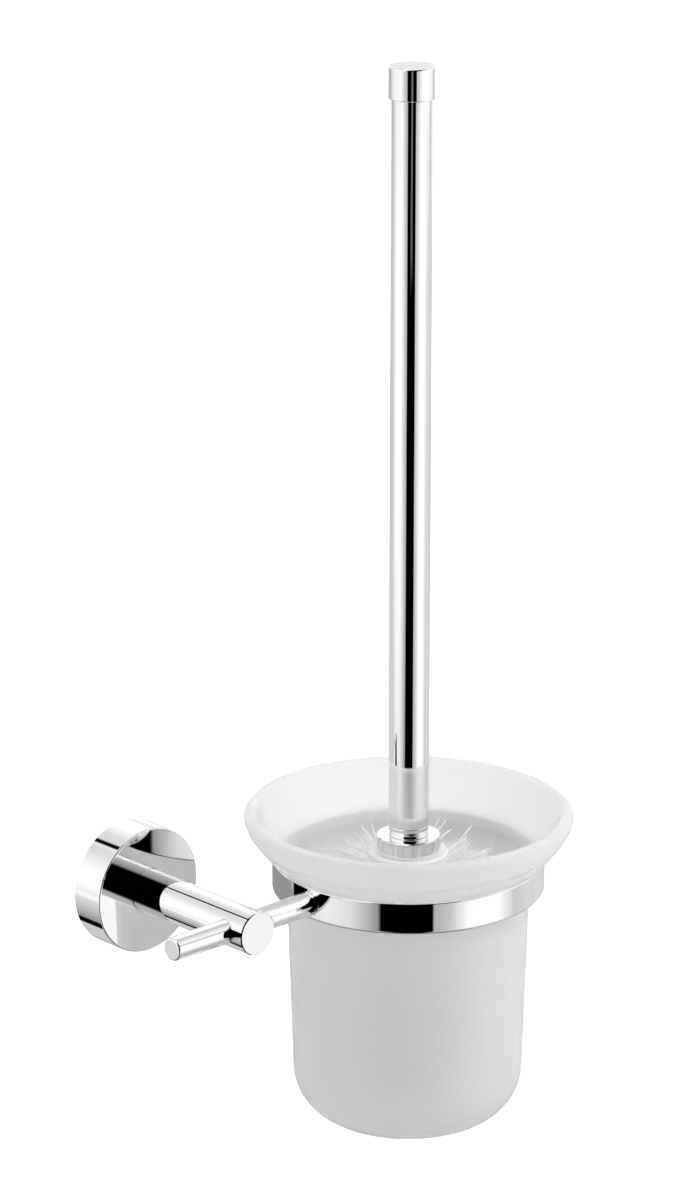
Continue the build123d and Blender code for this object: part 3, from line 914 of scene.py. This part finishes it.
    def bearings(self, sheet: NodeSheet, toward: Socket) -> tuple[Socket, Socket]:
        """Works out where a direction points.

        Args:
            sheet: Sheet of the world.
            toward: Unit direction.

        Returns:
            Its bearing and its height, in degrees.
        """
        turn = self.doorway_turn
        parts = []
        for axis in ((math.cos(turn), math.sin(turn), 0.0), (math.sin(turn), -math.cos(turn), 0.0)):
            along = sheet.add("ShaderNodeVectorMath", operation="DOT_PRODUCT")
            sheet.link(toward, along.inputs[0])
            along.inputs[1].default_value = axis
            parts.append(along.outputs["Value"])
        split = sheet.add("ShaderNodeSeparateXYZ")
        sheet.link(toward, split.inputs[0])
        degrees = 180.0 / math.pi
        bearing = sheet.math("MULTIPLY", sheet.math("ARCTAN2", parts[0], parts[1]), degrees)
        rise = sheet.math("MULTIPLY", sheet.math("ARCSINE", split.outputs["Z"]), degrees)
        return bearing, rise

    def draw_through(self, sheet: NodeSheet, bearing: Socket, mirrors: Socket) -> Socket:
        """Shades the walls as they are seen through the frosted glass.

        Args:
            sheet: Sheet of the world.
            bearing: Bearing of the direction.
            mirrors: Count of mirrorings on the way; a mirrored glass shows the dimmer wall behind it.

        Returns:
            The grey that is seen there.
        """
        aside = sheet.math("ABSOLUTE", bearing)
        doorway = sheet.remap(aside, self.through_edge, self.through_levels, smooth=True)
        behind = sheet.math("MULTIPLY", self.fade(sheet, aside, self.mirrored_back),
                            self.fade(sheet, mirrors, (0.0, 1.0)))
        dimming = sheet.remap(behind, (0.0, 1.0), (1.0, self.mirrored_level))
        return sheet.math("MULTIPLY", doorway, dimming)

    def draw_walls(self, sheet: NodeSheet, bearing: Socket, rise: Socket, first: Socket) -> Socket:
        """Shades the walls, the ground and the ceiling that polished metal mirrors.

        Args:
            sheet: Sheet of the world.
            bearing: Bearing of the direction.
            rise: Height of the direction.
            first: Mask of what is mirrored once only.

        Returns:
            The grey that is seen there.
        """
        place = sheet.remap(bearing, (-180.0, 180.0), (0.0, 1.0))
        tall, low, ground = (self.table(sheet, place, stops)
                             for stops in (self.tall_walls, self.low_walls, self.ground))
        narrow = self.fade(sheet, sheet.math("ABSOLUTE", bearing), self.slit_bearing)
        slit = sheet.math("MULTIPLY", self.band(sheet, rise, self.slit_rise, self.slit_edge),
                          sheet.math("MULTIPLY", first, narrow))
        shown = sheet.blend_colour(slit, tall, self.grey(self.slit_level))
        for layer, limits in ((low, self.low_rise), (self.grey(Paint.WHITE.value), self.ceiling_rise),
                              (ground, self.ground_rise)):
            shown = sheet.blend_colour(self.fade(sheet, rise, limits), shown, layer)
        return shown

    def draw_sides(self, sheet: NodeSheet, toward: Socket, bearing: Socket, rise: Socket,
                   walls: Socket) -> Socket:
        """Shades what lies above and below the walls: before the set, to its right and behind it.

        Args:
            sheet: Sheet of the world.
            toward: Unit direction.
            bearing: Bearing of the direction.
            rise: Height of the direction.
            walls: Grey to draw on.

        Returns:
            The grey with the three sides drawn.
        """
        split = sheet.add("ShaderNodeSeparateXYZ")
        sheet.link(toward, split.inputs[0])
        turns = {}
        for side in ("X", "Y"):
            across = sheet.math("MULTIPLY", split.outputs[side], -1.0)
            turn = sheet.math("ARCTAN2", split.outputs["Z"], across)
            turns[side] = sheet.remap(turn, (-math.pi, math.pi), (0.0, 1.0))
        off_level = sheet.math("SUBTRACT", 1.0, self.band(sheet, rise, self.level_rise, self.level_edge))
        corner = sheet.math("MULTIPLY", self.fade(sheet, rise, self.corner_rise),
                            self.fade(sheet, bearing, self.corner_bearing))
        right = sheet.math("MULTIPLY", off_level, sheet.math("SUBTRACT", 1.0, corner))
        near, far = self.side_reach
        shown = walls
        for stops, side, run, reach, mask in (
                (self.ahead, "X", "Y", (-near, -far), self.fade(sheet, rise, self.ahead_rise)),
                (self.beside, "Y", "X", self.side_reach, right),
                (self.behind, "X", "Y", self.side_reach, off_level)):
            drawn = sheet.math("MULTIPLY", mask, self.fade(sheet, split.outputs[run], reach))
            shown = sheet.blend_colour(drawn, shown, self.table(sheet, turns[side], stops))
        return shown

    def draw_patches(self, sheet: NodeSheet, bearing: Socket, rise: Socket, walls: Socket) -> Socket:
        """Draws the shade straight below, a grey strip at the left, and a dark strip and a panel behind.

        Args:
            sheet: Sheet of the world.
            bearing: Bearing of the direction.
            rise: Height of the direction.
            walls: Grey to draw on.

        Returns:
            The grey with the patches drawn.
        """
        back = self.fade(sheet, sheet.math("ABSOLUTE", bearing), self.back_bearing)
        left = self.fade(sheet, bearing, self.left_bearing)
        below = self.fade(sheet, rise, self.below_rise)
        shown = sheet.blend_colour(below, walls, self.grey(self.below_level))
        for place, (limits, level) in ((left, self.left_strip), (back, self.back_strip),
                                       (back, self.back_panel)):
            mask = sheet.math("MULTIPLY", self.band(sheet, rise, limits, self.patch_edge), place)
            shown = sheet.blend_colour(mask, shown, self.grey(level))
        return shown


@dataclass(frozen=True)
class Lamp:
    """A large soft square lamp."""

    name: str
    place: Point
    size: float
    power: float

    def hang(self, aim: Point) -> None:
        """Hangs the lamp, aimed at a point.

        Args:
            aim: Point that it faces.
        """
        data = bpy.data.lights.new(self.name, "AREA")
        data.size = self.size
        data.energy = self.power
        lamp = bpy.data.objects.new(self.name, data)
        lamp.location = self.place
        toward = Vector(aim) - Vector(self.place)
        lamp.rotation_euler = toward.to_track_quat("-Z", "Y").to_euler()
        lamp.visible_glossy = False
        bpy.context.scene.collection.objects.link(lamp)


@dataclass
class Studio:
    """Camera, floor, lamps and the white room round the set."""

    camera_place: Point = (-1.04299, -1.23485, 0.61556)
    camera_azimuth: float = -43.01
    camera_pitch: float = 17.392
    lens: float = 138.23
    sensor_height: float = 36.0
    far_clip: float = 60.0
    bounces: int = 24
    diffuse_bounces: int = 12
    glass_bounces: int = 16
    floor_z: float = -0.32
    floor_size: float = 14.0
    floor_colour: Colour = (0.86, 0.86, 0.86, 1.0)
    floor_glow: float = 0.3
    lamps: tuple[Lamp, ...] = (
        Lamp("key", place=(1.1, -1.5, 1.5), size=1.6, power=19.0),
        Lamp("fill", place=(-0.4, 0.0, 1.8), size=1.4, power=3.0))
    lamp_aim: Point = (0.08, -0.06, 0.0)

    def build(self) -> None:
        """Sets up the view, the room, the lamps and the floor."""
        scene = bpy.context.scene
        scene.view_settings.view_transform = "Standard"
        scene.cycles.max_bounces = self.bounces
        scene.cycles.diffuse_bounces = self.diffuse_bounces
        scene.cycles.transmission_bounces = self.glass_bounces
        self.place_camera()
        WhiteRoom(math.radians(self.camera_azimuth)).build()
        self.lay_floor()
        for lamp in self.lamps:
            lamp.hang(self.lamp_aim)
        LOG.info("studio ready")

    def place_camera(self) -> None:
        """Stands the camera at the photograph's viewing angle."""
        data = bpy.data.cameras.new("camera")
        data.sensor_fit = "VERTICAL"
        data.sensor_height = self.sensor_height
        data.lens = self.lens
        data.clip_end = self.far_clip
        camera = bpy.data.objects.new("camera", data)
        camera.location = self.camera_place
        camera.rotation_euler = (math.radians(90.0 - self.camera_pitch), 0.0,
                                 math.radians(self.camera_azimuth))
        bpy.context.scene.collection.objects.link(camera)
        bpy.context.scene.camera = camera

    def lay_floor(self) -> None:
        """Lays a pale floor that keeps the set's soft shadow."""
        half = self.floor_size / 2
        mesh = bpy.data.meshes.new("floor")
        corners = [(-half, -half), (half, -half), (half, half), (-half, half)]
        mesh.from_pydata([(x, y, self.floor_z) for x, y in corners], [], [(0, 1, 2, 3)])
        floor = bpy.data.objects.new("floor", mesh)
        bpy.context.scene.collection.objects.link(floor)
        mesh.materials.append(self.floor_material())
        floor.visible_glossy = False
        floor.visible_transmission = False

    def floor_material(self) -> bpy.types.Material:
        """Builds the floor's finish: matt, and lifted to white where the camera sees it.

        Returns:
            The finished material.
        """
        material = bpy.data.materials.new("pale_floor")
        material.use_nodes = True
        sheet = NodeSheet(material.node_tree)
        material.node_tree.nodes.clear()
        matt = sheet.add("ShaderNodeBsdfDiffuse")
        matt.inputs["Color"].default_value = self.floor_colour
        glow = sheet.add("ShaderNodeEmission")
        path = sheet.add("ShaderNodeLightPath")
        sheet.link(sheet.math("MULTIPLY", path.outputs["Is Camera Ray"], self.floor_glow),
                   glow.inputs["Strength"])
        both = sheet.add("ShaderNodeAddShader")
        sheet.link(matt.outputs[0], both.inputs[0])
        sheet.link(glow.outputs[0], both.inputs[1])
        output = sheet.add("ShaderNodeOutputMaterial")
        sheet.link(both.outputs[0], output.inputs["Surface"])
        return material


def main() -> None:
    """Loads the frame, dresses it, grows the bristles and sets up the studio."""
    logging.basicConfig(level=logging.INFO, format="%(message)s")
    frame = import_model()
    finishes = Finishes()
    Dresser(frame, finishes).dress_nodes()
    low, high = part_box("handle_tube")
    head = BrushHead(finishes, ((low.x + high.x) / 2, (low.y + high.y) / 2))
    head.grow_bands()
    head.grow_tip()
    Studio().build()


if __name__ == "__main__":
    main()
